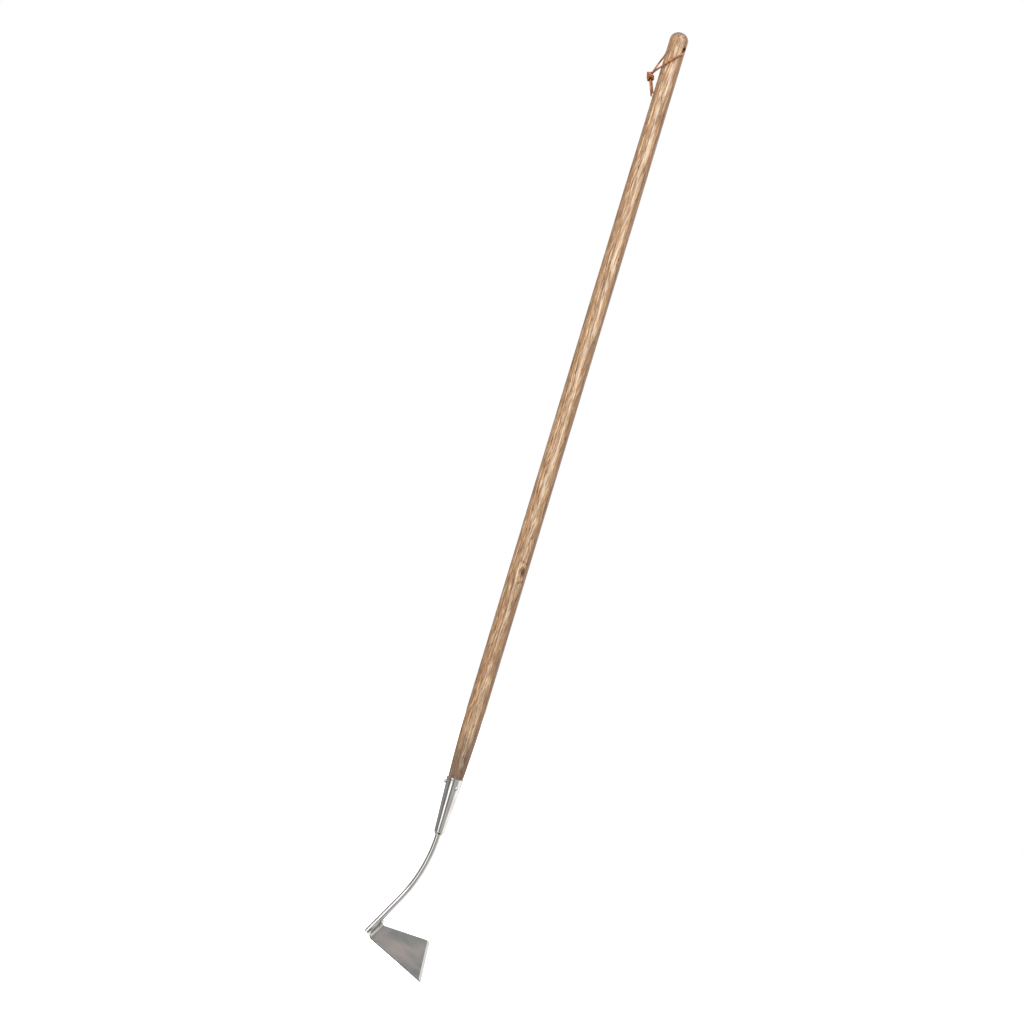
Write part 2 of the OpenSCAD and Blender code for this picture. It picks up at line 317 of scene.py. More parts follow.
def oiled_ash():
    """Flat-sawn ash: cream and golden latewood between dark porous earlywood lines, which run into long
    arches on the face of the pole. Fibres and open pores show as short dashes. The pores are at most
    0.3 mm wide, and they and the fibres are drawn about five times as coarse so that they show."""
    material, tree = new_material("ash, turned and oiled")
    place = add(tree, "TexCoord").outputs["Object"]
    in_mm = add(tree, "VectorMath", {0: place, "Scale": 1 / mm}, operation="SCALE")
    spot = add(tree, "SeparateXYZ", {"Vector": in_mm}).outputs

    def drawn_out(vector, wide, long, detail=3.0, rough=0.55):
        """Noise in streaks: wide across the pole and long along it, in millimetres."""
        at = add(tree, "Mapping", {"Vector": vector, "Scale": (1 / wide, 1 / wide, 1 / long)})
        return add(tree, "TexNoise", {"Vector": at, "Scale": 1.0, "Detail": detail, "Roughness": rough})

    # one small knot on the front of the pole, which the rings flow round
    knot_at, knot_size = (7, -14, -521), (3.6, 8, 8)
    off = add(tree, "VectorMath", {0: in_mm, 1: knot_at}, operation="SUBTRACT")
    off = add(tree, "Mapping", {"Vector": off, "Rotation": (0, math.radians(-14), 0),
                                "Scale": [1 / size for size in knot_size]})
    off = add(tree, "VectorMath", {0: off}, operation="LENGTH").outputs["Value"]
    round_knot = add(tree, "MapRange", {"Value": off, "From Min": 0.2, "From Max": 3.2, "To Min": 7.0,
                                        "To Max": 0.0}, interpolation_type="SMOOTHSTEP")
    in_knot = add(tree, "MapRange", {"Value": off, "From Min": 0.5, "From Max": 1.1, "To Min": 0.85,
                                     "To Max": 0.0})

    # the tree's rings: cylinders about a pith beside the pole, leaning and wandering along it
    ring_mm, wander_mm, ripple_mm, pith = 3.6, 24.0, 2.2, (-22, 52, 0)
    wander = drawn_out(in_mm, 60, 240, 2.0).outputs["Color"]
    shift = add(tree, "VectorMath", {0: wander, 1: (0.5, 0.5, 0.5)}, operation="SUBTRACT")
    shift = add(tree, "VectorMath", {0: shift, "Scale": wander_mm}, operation="SCALE")
    bent = add(tree, "VectorMath", {0: in_mm, 1: shift}, operation="ADD")
    axis = add(tree, "Mapping", {"Vector": bent, "Location": pith, "Scale": (1, 1, 0),
                                 "Rotation": (math.radians(1.3), math.radians(-1.0), 0)})
    far = add(tree, "VectorMath", {0: axis}, operation="LENGTH").outputs["Value"]
    far = add(tree, "Math", {0: far, 1: round_knot}, operation="ADD")
    ripple = add(tree, "Math", {0: drawn_out(in_mm, 5, 38, 2.0), 1: ripple_mm}, operation="MULTIPLY")
    far = add(tree, "Math", {0: far, 1: ripple}, operation="ADD")
    ring = add(tree, "Math", {0: far, 1: ring_mm}, operation="DIVIDE")
    ring = add(tree, "Math", {0: ring}, operation="FRACT")
    early = add(tree, "ValToRGB", {"Fac": ring},
                stops=[(0.0, grey(1.0)), (0.14, grey(0.7)), (0.4, grey(0.1)), (0.84, grey(0.0)),
                       (0.96, grey(0.5)), (1.0, grey(1.0))])

    # fibres, streaks and pores, drawn out along the pole
    fibre = drawn_out(bent, 1.7, 24, 3.0, 0.6)
    streak = drawn_out(bent, 5, 210, 1.5)
    dash = drawn_out(bent, 1.6, 14, 2.0, 0.65)
    pore = add(tree, "ValToRGB", {"Fac": dash}, stops=[(0.33, grey(0.85)), (0.42, grey(0.0))])
    porous = add(tree, "Math", {0: early, 1: 0.5}, operation="ADD")
    pore = add(tree, "Math", {0: pore, 1: porous}, operation="MULTIPLY")
    golden = add(tree, "ValToRGB", {"Fac": streak},
                 stops=[(0.36, linear("#906A4B")), (0.45, linear("#A67F5A")), (0.54, linear("#B08962")),
                        (0.63, linear("#C8A67F"))])
    fine = add(tree, "ValToRGB", {"Fac": fibre},
               stops=[(0.37, linear("#61442F")), (0.46, linear("#A17A54")), (0.55, linear("#BC956B")),
                      (0.64, linear("#E9D2B4"))])
    wood = add(tree, "MixRGB", {"Fac": 0.62, "Color1": golden, "Color2": fine})

    # a pale stripe runs up the front, broken into threads: partly pale sapwood, partly a painted highlight
    # band where the light falls on the front of the pole
    sway = add(tree, "Math", {0: drawn_out(in_mm, 90, 170, 1.0), 1: 9.0}, operation="MULTIPLY")
    stripe_x = add(tree, "Math", {0: sway, 1: -2.0}, operation="ADD")
    beside = add(tree, "Math", {0: spot["X"], 1: stripe_x}, operation="SUBTRACT")
    beside = add(tree, "Math", {0: beside}, operation="ABSOLUTE")
    pale_stripe_and_highlight = add(tree, "MapRange", {"Value": beside, "From Min": 1.0, "From Max": 5.5, "To Min": 0.6,
                                  "To Max": 0.0}, interpolation_type="SMOOTHSTEP")
    thread = add(tree, "MapRange", {"Value": drawn_out(bent, 1.4, 50, 2.0), "From Min": 0.42,
                                    "From Max": 0.56})
    in_front = add(tree, "Math", {0: spot["Y"], 1: 0.0}, operation="LESS_THAN")
    pale_stripe_and_highlight = add(tree, "Math", {0: pale_stripe_and_highlight, 1: thread}, operation="MULTIPLY")
    pale_stripe_and_highlight = add(tree, "Math", {0: pale_stripe_and_highlight, 1: in_front}, operation="MULTIPLY")

    # the right flank is darker brown: partly browner heartwood, partly painted shade along the pole's right
    # side
    browner_flank_and_shade = add(tree, "MapRange", {"Value": spot["X"], "From Min": 6.0, "From Max": 12.5, "To Min": 0.0,
                                   "To Max": 0.6}, interpolation_type="SMOOTHSTEP")
    dark_line = add(tree, "Math", {0: early, 1: 0.6}, operation="MULTIPLY")

    # grime and steel stain above the socket, and the thirsty end grain of the top
    uneven = add(tree, "Math", {0: drawn_out(in_mm, 14, 60, 3.0), 1: 70.0}, operation="MULTIPLY")
    foot = add(tree, "Math", {0: spot["Z"], 1: rim_z / mm}, operation="SUBTRACT")
    foot = add(tree, "Math", {0: foot, 1: uneven}, operation="SUBTRACT")
    stain = add(tree, "MapRange", {"Value": foot, "From Min": -22.0, "From Max": 62.0, "To Min": 0.56,
                                   "To Max": 0.0}, interpolation_type="SMOOTHSTEP")
    tip = add(tree, "MapRange", {"Value": spot["Z"], "From Min": handle_high.z / mm - 12,
                                 "From Max": handle_high.z / mm - 2, "To Min": 0.0, "To Max": 0.85})
    # the pale stripe mixed in here is partly a painted highlight, and the browner right flank is partly a
    # painted shade
    for amount, colour in ((pale_stripe_and_highlight, "#E9D6BE"), (browner_flank_and_shade, "#7E5B42"), (dark_line, "#6B4A38"), (pore, "#33231B"),
                           (in_knot, "#4B2F20"), (stain, "#4A3C36"), (tip, "#5E5147")):
        wood = add(tree, "MixRGB", {"Fac": amount, "Color1": wood, "Color2": linear(colour)})

    deep = add(tree, "Math", {0: fibre, 1: pore}, operation="SUBTRACT")
    bump = add(tree, "Bump", {"Height": deep, "Strength": 0.4, "Distance": 0.18 * mm})
    sheen = add(tree, "MapRange", {"Value": fibre, "From Min": 0.3, "From Max": 0.7, "To Min": 0.52,
                                   "To Max": 0.38})
    shader = add(tree, "BsdfPrincipled", {"Base Color": wood, "Roughness": sheen, "Normal": bump,
                                          "Specular IOR Level": 0.4})
    add(tree, "OutputMaterial", {"Surface": shader})
    return material


ash = oiled_ash()


def bore_wood():
    """Drilled ash, dark with handling and leather wax, and darker with painted shade inside the bore: matt,
    with fine torn grain along the pole.
    """
    material, tree = new_material("ash, drilled hole, wax-darkened and painted shade")
    place = add(tree, "TexCoord").outputs["Object"]
    wide, long = 0.5 * mm, 4 * mm
    grain_at = add(tree, "Mapping", {"Vector": place, "Scale": (1 / wide, 1 / wide, 1 / long)})
    grain = add(tree, "TexNoise", {"Vector": grain_at, "Scale": 1.0, "Detail": 4.0})
    # near black: the wood's wax darkening and a painted shade of the hole together
    dark = add(tree, "ValToRGB", {"Fac": grain},
               stops=[(0.35, linear("#1E140F")), (0.7, linear("#3E2B20"))])
    bump = add(tree, "Bump", {"Height": grain, "Strength": 0.5, "Distance": 0.2 * mm})
    shader = add(tree, "BsdfPrincipled", {"Base Color": dark, "Roughness": 0.7, "Normal": bump})
    add(tree, "OutputMaterial", {"Surface": shader})
    return material


def turned_handle():
    """The pole turned to its profile, with the hanging hole drilled through its grip."""
    step = 6 * mm
    heights = [handle_low.z, rim_z - 0.2 * mm]
    z = rim_z
    while z < handle_high.z - dome - 0.5 * mm:
        heights.append(z)
        z += step
    heights += [handle_high.z - dome + dome * math.sin(math.radians(a)) for a in range(0, 90, 5)]
    profile = [(0, handle_low.z)] + [(handle_radius(z), z) for z in heights] + [(0, handle_high.z)]
    vertices, faces = lathe(profile, 96)
    piece = put("handle_turned", vertices, faces, ash)
    # the drill's profile: its mouths are eased to a radius and flare out beyond the wood
    bore_r, mouth, half, clear = 4 * mm, 2.4 * mm, 18 * mm, 0.6 * mm
    eased = []
    for a in range(0, 91, 10):
        a = math.radians(a)
        eased.append((bore_r + mouth * (1 - math.cos(a)), grip_r - mouth + mouth * math.sin(a)))
    flare = [(bore_r + 1.6 * mouth, grip_r + clear), (bore_r + 2 * mouth, half), (0, half)]
    drill = [(r, -z) for r, z in reversed(eased + flare)] + eased + flare
    turn = Vector((0, 0, 1)).rotation_difference(hole_way).to_matrix()
    cutter_mesh = bpy.data.meshes.new("drill")
    some, more = lathe(drill, 48, hole_centre, turn)
    cutter_mesh.from_pydata([tuple(v) for v in some], [], more)
    cutter_mesh.materials.append(bore_wood())
    cutter = bpy.data.objects.new("drill", cutter_mesh)
    bpy.context.scene.collection.objects.link(cutter)
    cut = piece.modifiers.new("drill", "BOOLEAN")
    cut.object = cutter
    cut.solver = "EXACT"
    cut.material_mode = "TRANSFER"
    bpy.context.view_layer.update()
    drilled = bpy.data.meshes.new_from_object(piece.evaluated_get(bpy.context.evaluated_depsgraph_get()))
    piece.modifiers.clear()
    piece.data = drilled
    bpy.data.objects.remove(cutter)
    drilled.polygons.foreach_set("use_smooth", [True] * len(drilled.polygons))
    drilled.set_sharp_from_angle(angle=math.radians(50))
    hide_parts("handle")


turned_handle()


# ---- Socket ----
# Stainless sheet, rolled and welded into a cone, with its rim turned out a little, then ground and
# polished to a mirror. Two domed pins hold it to the wood.
socket_rim_r = 13.2 * mm
socket_foot_r = 8.25 * mm
socket_wall = 1.3 * mm


def mirror_steel():
    """Mirror-polished stainless: clear reflections, softened by hair-fine polishing lines and a slight
    ripple that the wheel leaves in the surface. The lines are under 0.05 mm wide, and are drawn 0.5 mm
    wide so that they show."""
    material, tree = new_material("stainless steel, mirror-polished")
    place = add(tree, "TexCoord").outputs["Object"]
    ripple = add(tree, "TexNoise", {"Vector": place, "Scale": 1 / (22 * mm), "Detail": 1.0})
    wide, long = 0.5 * mm, 30 * mm
    lines_at = add(tree, "Mapping", {"Vector": place, "Scale": (1 / wide, 1 / wide, 1 / long)})
    lines = add(tree, "TexNoise", {"Vector": lines_at, "Scale": 1.0, "Detail": 3.0})
    rough = add(tree, "MapRange", {"Value": lines, "To Min": 0.06, "To Max": 0.17})
    soft = add(tree, "Bump", {"Height": ripple, "Strength": 0.15, "Distance": 2 * mm})
    fine = add(tree, "Bump", {"Height": lines, "Strength": 0.04, "Distance": 0.2 * mm, "Normal": soft})
    tint = add(tree, "ValToRGB", {"Fac": ripple},
               stops=[(0.3, linear("#C9C6C2")), (0.7, linear("#D6D5D2"))])
    shader = add(tree, "BsdfPrincipled", {"Base Color": tint, "Metallic": 1.0, "Roughness": rough,
                                          "Normal": fine})
    add(tree, "OutputMaterial", {"Surface": shader})
    return material


polished = mirror_steel()


def rolled_socket():
    """The cone's outside from foot to lip, over the rounded edge of the rim and down the inside."""
    sides, steps = 128, 11
    lip_drop, lip_h, lip_out, edge_r = 3.2 * mm, 1.6 * mm, 0.5 * mm, 0.35 * mm
    inside_foot, inside_rim = socket_foot_r - socket_wall, socket_rim_r - socket_wall
    side = [(socket_foot_r + (socket_rim_r - socket_foot_r) * i / steps,
             foot_z + (rim_z - foot_z - lip_drop) * i / steps) for i in range(steps + 1)]
    lip = [(socket_rim_r + lip_out * math.sin(math.radians(a)) ** 2, rim_z - lip_drop + lip_h * a / 90)
           for a in range(15, 91, 15)]
    edge = [(socket_rim_r + lip_out - edge_r * (1 - math.cos(math.radians(a))),
             rim_z - edge_r + edge_r * math.sin(math.radians(a))) for a in range(0, 91, 30)]
    profile = side + lip + edge + [(inside_rim + 0.15 * mm, rim_z), (inside_rim, rim_z - 0.15 * mm),
                                   (inside_foot, foot_z), (socket_foot_r - 0.1 * mm, foot_z)]
    vertices, faces = lathe(profile, sides)
    last = (len(profile) - 1) * sides
    faces += [(last + k, last + (k + 1) % sides, (k + 1) % sides, k) for k in range(sides)]
    piece = put("socket_rolled", vertices, faces, polished, 30)
    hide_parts("socket")


rolled_socket()

# Two stainless drive pins with turned, domed heads on short undercut necks, hammered through the socket
# into the wood. Each place is how far round to the right of straight ahead, and how far below the rim.
pin_places = [(-90, 8 * mm), (30, 14.5 * mm)]
pin_head_r, pin_head_h = 3.4 * mm, 3.2 * mm
pin_neck_r, sunk, seat, edge = pin_head_r - 0.7 * mm, 0.8 * mm, 0.35 * mm, 0.15 * mm
head = [(0, -sunk), (pin_neck_r, -sunk), (pin_neck_r, seat), (pin_head_r - edge, seat)]
head += [(pin_head_r * math.cos(math.radians(a)), seat + (pin_head_h - seat) * math.sin(math.radians(a)))
         for a in range(8, 90, 8)] + [(0, pin_head_h)]
vertices, faces = [], []
for round_to, drop in pin_places:
    a = math.radians(round_to)
    out = Vector((math.sin(a), -math.cos(a), 0))
    spin = Vector((0, 0, 1)).rotation_difference(out).to_matrix()
    z = rim_z - drop
    skin = socket_foot_r + (socket_rim_r - socket_foot_r) * (z - foot_z) / (rim_z - foot_z)
    some, more = lathe(head, 40, out * skin + Vector((0, 0, z)), spin)
    faces += [tuple(i + len(vertices) for i in f) for f in more]
    vertices += some
pins = put("socket_pin_heads", vertices, faces, polished)
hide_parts("socket_pins")


# ---- Plug ----
# A turned stainless plug closes the foot of the socket. It is welded to the socket and to the bar, and
# the weld has been ground back, which leaves a bright ring and a brown heat tint beside it.
plug_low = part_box("socket_plug")[0].z


def tinted_steel(name, stops, spot_mm, scorch=None):
    """Stainless by a weld: oxide colours in patches over bright metal, and on the plug one darker scorch
    mark where the weld was closed. Its grit is drawn 0.6 mm coarse, more than it is, so that it shows."""
    material, tree = new_material(name)
    place = add(tree, "TexCoord").outputs["Object"]
    patch = add(tree, "TexNoise", {"Vector": place, "Scale": 1 / (spot_mm * mm), "Detail": 4.0,
                                   "Roughness": 0.6})
    tint = add(tree, "ValToRGB", {"Fac": patch}, stops=stops)
    if scorch:
        scorch_size = (2.9 * mm, 5 * mm, 1.7 * mm)
        off = add(tree, "VectorMath", {0: place, 1: scorch}, operation="SUBTRACT")
        off = add(tree, "Mapping", {"Vector": off, "Scale": [1 / size for size in scorch_size]})
        off = add(tree, "VectorMath", {0: off}, operation="LENGTH").outputs["Value"]
        burnt = add(tree, "MapRange", {"Value": off, "From Min": 0.6, "From Max": 1.2, "To Min": 1.0,
                                       "To Max": 0.0}, interpolation_type="SMOOTHSTEP")
        tint = add(tree, "MixRGB", {"Fac": burnt, "Color1": tint, "Color2": linear("#4A3024")})
    grit = add(tree, "TexNoise", {"Vector": place, "Scale": 1 / (0.6 * mm), "Detail": 3.0})
    rough = add(tree, "MapRange", {"Value": patch, "To Min": 0.3, "To Max": 0.6})
    bump = add(tree, "Bump", {"Height": grit, "Strength": 0.35, "Distance": 0.2 * mm})
    shader = add(tree, "BsdfPrincipled", {"Base Color": tint, "Metallic": 1.0, "Roughness": rough,
                                          "Normal": bump})
    add(tree, "OutputMaterial", {"Surface": shader})
    return material


heat_tinted = tinted_steel("stainless steel, ground weld with heat tint",
                           [(0.4, linear("#E2E0DC")), (0.6, linear("#DDD5C8")), (0.66, linear("#C9AF8D")),
                            (0.72, linear("#A88A70"))], 5.0, (0.9 * mm, -7 * mm, foot_z - 2 * mm))


def welded_plug():
    """The collar below the socket, turned and then roughened a little where it has been welded."""
    top = foot_z + 0.05 * mm
    profile = [(socket_foot_r - 0.15 * mm, top), (socket_foot_r + 0.05 * mm, foot_z - 0.4 * mm),
               (socket_foot_r - 0.4 * mm, foot_z - 1.0 * mm), (socket_foot_r - 1.3 * mm, foot_z - 1.7 * mm),
               (6.2 * mm, foot_z - 2.5 * mm), (5.9 * mm, foot_z - 3.0 * mm), (6.4 * mm, foot_z - 3.5 * mm),
               (6.3 * mm, foot_z - 4.0 * mm), (5.7 * mm, plug_low + 0.1 * mm), (4.9 * mm, plug_low)]
    vertices, faces = lathe(profile + [(4.9 * mm, top), (socket_foot_r - 0.15 * mm, top)], 72)
    lump_size, lump_h = 3.5 * mm, 0.22 * mm
    for v in vertices:
        out = Vector((v.x, v.y, 0))
        if v.z < foot_z - 0.3 * mm and out.length > 5 * mm:
            v += out.normalized() * (noise.noise(v * (1 / lump_size)) * lump_h)
    piece = put("socket_plug_welded", vertices, faces, heat_tinted, 60)
    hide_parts("socket_plug")


welded_plug()


# ---- Neck ----
# One 10 mm round stainless bar, bent cold to a long curve and polished with the socket. Its end is cut
# square and welded to the blade's tab.
bar_r = 5 * mm
bend_r = 250 * mm
bend_angle = math.radians(28)
bar_straight = 72.5 * mm
bend_top = Vector((0, 0, foot_z - 2 * mm))
bar_end = bend_top + Vector((-bend_r * (1 - math.cos(bend_angle)) - bar_straight * math.sin(bend_angle), 0,
                             -bend_r * math.sin(bend_angle) - bar_straight * math.cos(bend_angle)))


def bent_neck():
    """The bar from inside the plug, round the bend and straight on to its end, which is eased."""
    bend_steps, straight_steps, ease = 40, 12, 0.35 * mm
    line = [Vector((0, 0, foot_z + 8 * mm)), Vector((0, 0, foot_z + 3 * mm))]
    for i in range(bend_steps + 1):
        a = bend_angle * i / bend_steps
        line.append(bend_top + Vector((-bend_r * (1 - math.cos(a)), 0, -bend_r * math.sin(a))))
    down = Vector((-math.sin(bend_angle), 0, -math.cos(bend_angle)))
    start = line[-1]
    line += [start + down * bar_straight * i / straight_steps for i in range(1, straight_steps)]
    line += [bar_end - down * 2 * ease, bar_end - down * ease, bar_end - down * 0.3 * ease, bar_end]
    radius = [bar_r] * (len(line) - 2) + [bar_r - 0.3 * ease, bar_r - ease]
    # the bar is ground a little slimmer beside the plug
    slimmest, regained = 0.96, 0.05
    radius = [r * (slimmest + regained * min(i / bend_steps, 1)) for i, r in enumerate(radius)]
    vertices, faces = tube(line, radius, 48)
    piece = put("neck_bent_bar", vertices, faces, polished, 35)
    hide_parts("neck")


bent_neck()


# ---- Blade ----
# One 2.5 mm stainless plate. Its narrow end is turned up into a tab on a slanted fold, which twists the
# blade to one side, and its far edge is ground to a bevel. The face is satin-polished.
# The corners are given along the fold and square to it, and heights are above the end of the bar.
plate_t = 2.5 * mm
tab_half = 17.5 * mm
tab_turn = math.radians(-6)
fold_slant = math.radians(31)
fold_angle = math.radians(79)
fold_mid_r = 4 * mm + plate_t / 2
fold_reach = fold_mid_r / math.tan(fold_angle / 2)
rear_corner = Vector((63, 75.5)) * mm
point_corner = Vector((-33, 112)) * mm
bevel_w = 5 * mm
edge_land = 0.4 * mm
flat_x = bar_r - 0.3 * mm
fold_z = 10 * mm
tab_low = fold_z + fold_reach / math.cos(fold_slant) - tab_half * math.tan(fold_slant)
tab_top = tab_low + 2 * tab_half * math.tan(fold_slant) + 1.9 * mm
at_tab = (Matrix.Translation(bar_end) @ Matrix.Rotation(bend_angle, 4, "Y")
          @ Matrix.Rotation(tab_turn, 4, "Z"))
at_fold = (at_tab @ Matrix.Translation((flat_x + plate_t / 2, 0, fold_z))
           @ Matrix.Rotation(fold_slant, 4, "X"))


def satin_steel():
    """Satin-polished stainless plate: a soft grey reflection, clouded where the wheel has pressed. The satin
    grain is drawn 0.8 mm coarse, more than it is, so that it shows."""
    material, tree = new_material("stainless steel plate, satin-polished")
    place = add(tree, "TexCoord").outputs["Object"]
    cloud = add(tree, "TexNoise", {"Vector": place, "Scale": 1 / (34 * mm), "Detail": 1.0,
                                   "Distortion": 0.3})
    tint = add(tree, "ValToRGB", {"Fac": cloud},
               stops=[(0.3, linear("#8E9291")), (0.5, linear("#A6A4A1")), (0.7, linear("#B8B0AB"))])
    fine = add(tree, "TexNoise", {"Vector": place, "Scale": 1 / (0.8 * mm), "Detail": 4.0})
    rough = add(tree, "MapRange", {"Value": cloud, "To Min": 0.34, "To Max": 0.2})
    soft = add(tree, "Bump", {"Height": cloud, "Strength": 0.12, "Distance": 3 * mm})
    bump = add(tree, "Bump", {"Height": fine, "Strength": 0.05, "Distance": 0.1 * mm, "Normal": soft})
    shader = add(tree, "BsdfPrincipled", {"Base Color": tint, "Metallic": 1.0, "Roughness": rough,
                                          "Normal": bump})
    add(tree, "OutputMaterial", {"Surface": shader})
    return material


def ground_edge_steel():
    """The cutting bevel, ground on a fine belt: bright, with scratches square to the edge. They are drawn
    about 0.7 mm apart, coarser than the real grit, so that they show."""
    material, tree = new_material("stainless steel, belt-ground bevel")
    place = add(tree, "TexCoord").outputs["Object"]
    scratch_gap = 0.7 * mm
    run = rear_corner - point_corner
    blade_turn = at_fold.to_3x3() @ Matrix.Rotation(fold_angle, 3, "Y")
    along = (blade_turn @ Vector((0, run.x, run.y))).normalized() / scratch_gap
    step = add(tree, "VectorMath", {0: place, 1: along}, operation="DOT_PRODUCT").outputs["Value"]
    lines = add(tree, "TexNoise", {"W": step, "Scale": 1.0, "Detail": 3.0}, noise_dimensions="1D")
    tint = add(tree, "ValToRGB", {"Fac": lines},
               stops=[(0.3, linear("#BCBAB6")), (0.7, linear("#D0CFCB"))])
    rough = add(tree, "MapRange", {"Value": lines, "To Min": 0.32, "To Max": 0.48})
    bump = add(tree, "Bump", {"Height": lines, "Strength": 0.25, "Distance": 0.1 * mm})
    shader = add(tree, "BsdfPrincipled", {"Base Color": tint, "Metallic": 1.0, "Roughness": rough,
                                          "Normal": bump})
    add(tree, "OutputMaterial", {"Surface": shader})
    return material


satin = satin_steel()
ground = ground_edge_steel()


def sheet_rows():
    """Rows across the plate from the tab's top to the cutting edge. Each is (part of the plate, near end,
    far end), and an end is its place along the fold and its distance, or its angle, from the fold."""
    tab_steps, fold_steps, blade_steps = 8, 14, 14
    turn_total = math.pi - fold_angle
    root_half = tab_half / math.cos(fold_slant)
    rows = []

    def tab_point(across, up):
        """The tab's own width and height as a place along the fold and above it."""
        up -= fold_z
        return (across * math.cos(fold_slant) + up * math.sin(fold_slant),
                up * math.cos(fold_slant) - across * math.sin(fold_slant))

    def side_at(height, side):
        """Where the tab's straight side crosses a line parallel to the fold."""
        return (side * tab_half + height * math.sin(fold_slant)) / math.cos(fold_slant)

    near_top, far_top = tab_point(-tab_half, tab_top), tab_point(tab_half, tab_top)
    near_base, far_base = (side_at(fold_reach, -1), fold_reach), (side_at(fold_reach, 1), fold_reach)
    for i in range(tab_steps + 1):
        s = i / tab_steps
        near = [a + (b - a) * s for a, b in zip(near_top, near_base)]
        far = [a + (b - a) * s for a, b in zip(far_top, far_base)]
        rows.append(("tab", near, far))

    rear_start = root_half + (rear_corner.x - root_half) * fold_reach / rear_corner.y
    point_start = -root_half + (point_corner.x + root_half) * fold_reach / point_corner.y
    for i in range(1, fold_steps):
        s = i / fold_steps
        near = near_base[0] + (point_start - near_base[0]) * s
        far = far_base[0] + (rear_start - far_base[0]) * s
        rows.append(("fold", (near, turn_total * s), (far, turn_total * s)))

    edge = rear_corner - point_corner
    square = Vector((-edge.y, edge.x)).normalized()
    near_root, far_root = Vector((point_start, fold_reach)), Vector((rear_start, fold_reach))
    near_flat = 1 - bevel_w / abs((near_root - point_corner).dot(square))
    far_flat = 1 - bevel_w / abs((far_root - point_corner).dot(square))
    for i in range(blade_steps + 1):
        s = i / blade_steps
        rows.append(("blade", near_root.lerp(point_corner, s * near_flat),
                     far_root.lerp(rear_corner, s * far_flat)))
    rows.append(("edge", point_corner, rear_corner))
    return rows


def on_sheet(kind, along, other, off):
    """A point of the plate in the fold's frame: off is its distance above the plate's middle."""
    if kind == "tab":
        return Vector((off, along, other))
    if kind == "fold":
        r = fold_mid_r - off
        return Vector((fold_mid_r - r * math.cos(other), along, fold_reach - r * math.sin(other)))
    out = Vector((math.sin(fold_angle), 0, math.cos(fold_angle)))
    up = Vector((-math.cos(fold_angle), 0, math.sin(fold_angle)))
    return out * other + up * off + Vector((0, along, 0))


def face_outward(piece):
    """Turns all of a closed mesh's faces outwards."""
    mesh = bmesh.new()
    mesh.from_mesh(piece.data)
    bmesh.ops.recalc_face_normals(mesh, faces=mesh.faces)
    mesh.to_mesh(piece.data)
    mesh.free()


def folded_blade():
    """The plate's upper and lower faces, row by row, with its sides, its ends and eased edges."""
    rows, across = sheet_rows(), 24
    top, low, vertices = [], [], []
    for kind, near, far in rows:
        for grid, off in ((top, plate_t / 2), (low, -plate_t / 2)):
            if kind == "edge" and off > 0:
                off = -plate_t / 2 + edge_land
            line = []
            for k in range(across + 1):
                t = k / across
                a, b = near[0] + (far[0] - near[0]) * t, near[1] + (far[1] - near[1]) * t
                line.append(len(vertices))
                vertices.append(at_fold @ on_sheet(kind, a, b, off))
            grid.append(line)
    faces = []
    for i in range(len(rows) - 1):
        for k in range(across):
            faces.append((top[i][k], top[i][k + 1], top[i + 1][k + 1], top[i + 1][k]))
            faces.append((low[i][k], low[i + 1][k], low[i + 1][k + 1], low[i][k + 1]))
        faces.append((top[i][0], top[i + 1][0], low[i + 1][0], low[i][0]))
        faces.append((top[i][across], low[i][across], low[i + 1][across], top[i + 1][across]))
    for k in range(across):
        faces.append((top[0][k], low[0][k], low[0][k + 1], top[0][k + 1]))
        faces.append((top[-1][k], top[-1][k + 1], low[-1][k + 1], low[-1][k]))
    piece = put("blade_plate", vertices, faces, satin, 18)
    piece.data.materials.append(ground)
    bevel = set(top[-1]) | set(top[-2])
    for face in piece.data.polygons:
        if set(face.vertices) <= bevel:
            face.material_index = 1
    face_outward(piece)
    ease = piece.modifiers.new("eased edges", "BEVEL")
    ease.width = 0.5 * mm
    ease.material = 1
    ease.segments = 2
    ease.limit_method = "ANGLE"
    ease.angle_limit = math.radians(50)
    ease.harden_normals = True
    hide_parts("blade")


folded_blade()


# ---- Weld ----
# Two hand-laid fillet beads join the bar to the tab, one on each side. They are rippled, brushed rather
# than polished, and tinted by the heat.
weld_metal = tinted_steel("stainless weld bead, brushed",
                          [(0.36, linear("#8B8885")), (0.43, linear("#DBDAD8")), (0.52, linear("#BDBAB6")),
                           (0.58, linear("#E4E3E1")), (0.69, linear("#777470"))], 3.0)


